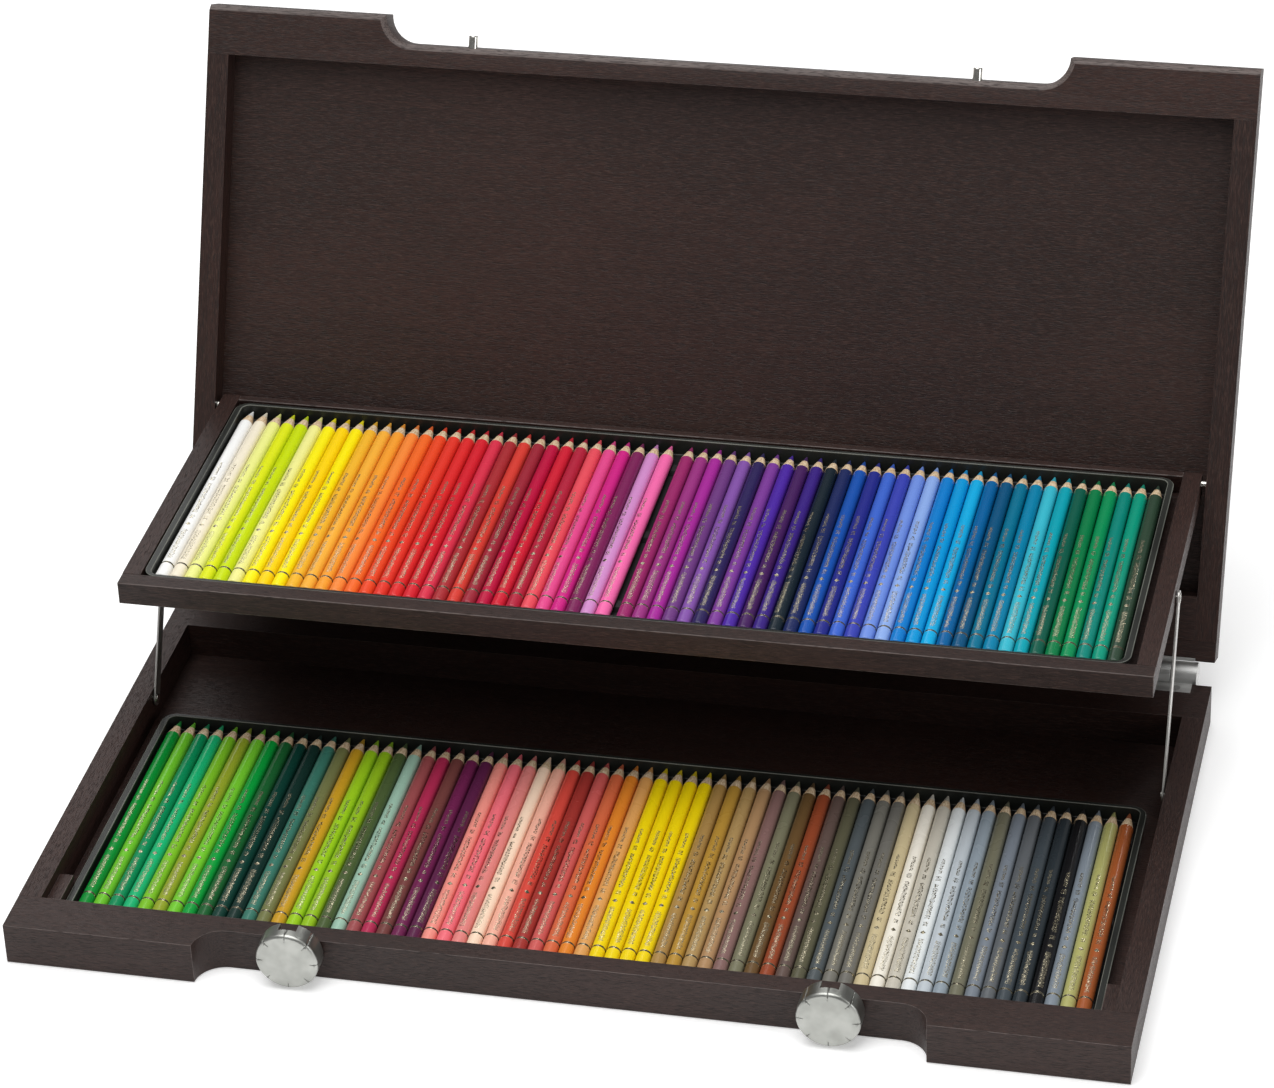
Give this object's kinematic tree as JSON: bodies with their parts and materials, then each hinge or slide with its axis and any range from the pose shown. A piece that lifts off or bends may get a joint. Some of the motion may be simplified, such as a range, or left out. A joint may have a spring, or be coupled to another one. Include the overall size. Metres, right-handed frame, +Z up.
{
  "type": "pencil case",
  "caption": "Flat hinged wooden case whose lid lifts a level upper tray of round pencils above a lower row, with two turning catch knobs in a front notch.",
  "frame": {"origin": "centre of the base's underside", "axes": "+X to the right as seen from the front, +Y to the rear, towards the hinges, +Z up; stored open, with the lid leaning 24 degrees past upright"},
  "size_m": [0.574, 0.47, 0.3182],
  "materials": {
    "dark_wood": "satin",
    "board_wood": "satin",
    "knob_metal": "brushed",
    "hinge_metal": "satin",
    "pin_nickel": "polished",
    "screw_steel": "satin",
    "link_steel": "satin",
    "tin_lacquer": "gloss",
    "insert_plastic": "matt",
    "pencil_wood": "lacquered in many colours",
    "pencil_lead": "matt"
  },
  "bodies": {
    "base": {"base_floor": "board_wood", "base_front_rail": "dark_wood", "base_hinge_screws": "screw_steel", "base_left_wall": "dark_wood", "base_rear_rail": "dark_wood", "base_right_wall": "dark_wood", "left_hinge_base_leaf": "hinge_metal", "left_hinge_pin": "pin_nickel", "left_knob_spindle": "pin_nickel", "left_link_base_pin": "pin_nickel", "left_tray_rest": "dark_wood", "right_hinge_base_leaf": "hinge_metal", "right_hinge_pin": "pin_nickel", "right_knob_spindle": "pin_nickel", "right_link_base_pin": "pin_nickel", "right_tray_rest": "dark_wood"},
    "lid": {"left_catch_pin": "pin_nickel", "left_hinge_lid_leaf": "hinge_metal", "left_tray_pivot_pin": "pin_nickel", "lid_front_rail": "dark_wood", "lid_hinge_block": "dark_wood", "lid_hinge_screws": "screw_steel", "lid_left_stile": "dark_wood", "lid_panel": "board_wood", "lid_rear_rail": "dark_wood", "lid_right_stile": "dark_wood", "right_catch_pin": "pin_nickel", "right_hinge_lid_leaf": "hinge_metal", "right_tray_pivot_pin": "pin_nickel"},
    "tray": {"left_link_tray_pin": "pin_nickel", "right_link_tray_pin": "pin_nickel", "tray_floor": "board_wood", "tray_front_rail": "dark_wood", "tray_left_rail": "dark_wood", "tray_rear_rail": "dark_wood", "tray_right_rail": "dark_wood"},
    "left_link": {"left_link": "link_steel"},
    "right_link": {"right_link": "link_steel"},
    "left_knob": {"left_knob": "knob_metal"},
    "right_knob": {"right_knob": "knob_metal"},
    "lower_row": {"lower_insert": "insert_plastic", "lower_pencil_leads": "pencil_lead", "lower_pencils": "pencil_wood", "lower_tin": "tin_lacquer"},
    "upper_row": {"upper_insert": "insert_plastic", "upper_pencil_leads": "pencil_lead", "upper_pencils": "pencil_wood", "upper_tin": "tin_lacquer"}
  },
  "joints": [
    {"name": "lid_hinge", "type": "hinge", "parent": "base", "child": "lid", "pos_m": [0, 0.1655, 0.02315], "axis": [-1, 0, 0], "range_deg": [-114, 0]},
    {"name": "tray_pivot", "type": "hinge", "parent": "lid", "child": "tray", "pos_m": [0, 0.21091, 0.11568], "axis": [1, 0, 0], "range_deg": [-114, 0]},
    {"name": "left_link_pivot", "type": "hinge", "parent": "base", "child": "left_link", "pos_m": [-0.2736, 0.0625, 0.017], "axis": [1, 0, 0], "range_deg": [0, 114]},
    {"name": "right_link_pivot", "type": "hinge", "parent": "base", "child": "right_link", "pos_m": [0.2736, 0.0625, 0.017], "axis": [1, 0, 0], "range_deg": [0, 114]},
    {"name": "left_knob_turn", "type": "hinge", "parent": "base", "child": "left_knob", "pos_m": [-0.138, -0.1425, 0.0172], "axis": [0, 1, 0], "range_deg": [0, 180]},
    {"name": "right_knob_turn", "type": "hinge", "parent": "base", "child": "right_knob", "pos_m": [0.138, -0.1425, 0.0172], "axis": [0, 1, 0], "range_deg": [-180, 0]},
    {"name": "lower_tin_lift", "type": "slide", "parent": "base", "child": "lower_row", "axis": [0, 0, 1], "range_m": [0, 0.04]},
    {"name": "upper_tin_lift", "type": "slide", "parent": "tray", "child": "upper_row", "axis": [0, 0, 1], "range_m": [0, 0.04]}
  ],
  "couplings": [
    {"joint": "tray_pivot", "follows": "lid_hinge", "ratio": 1},
    {"joint": "left_link_pivot", "follows": "lid_hinge", "ratio": -1},
    {"joint": "right_link_pivot", "follows": "lid_hinge", "ratio": -1}
  ]
}
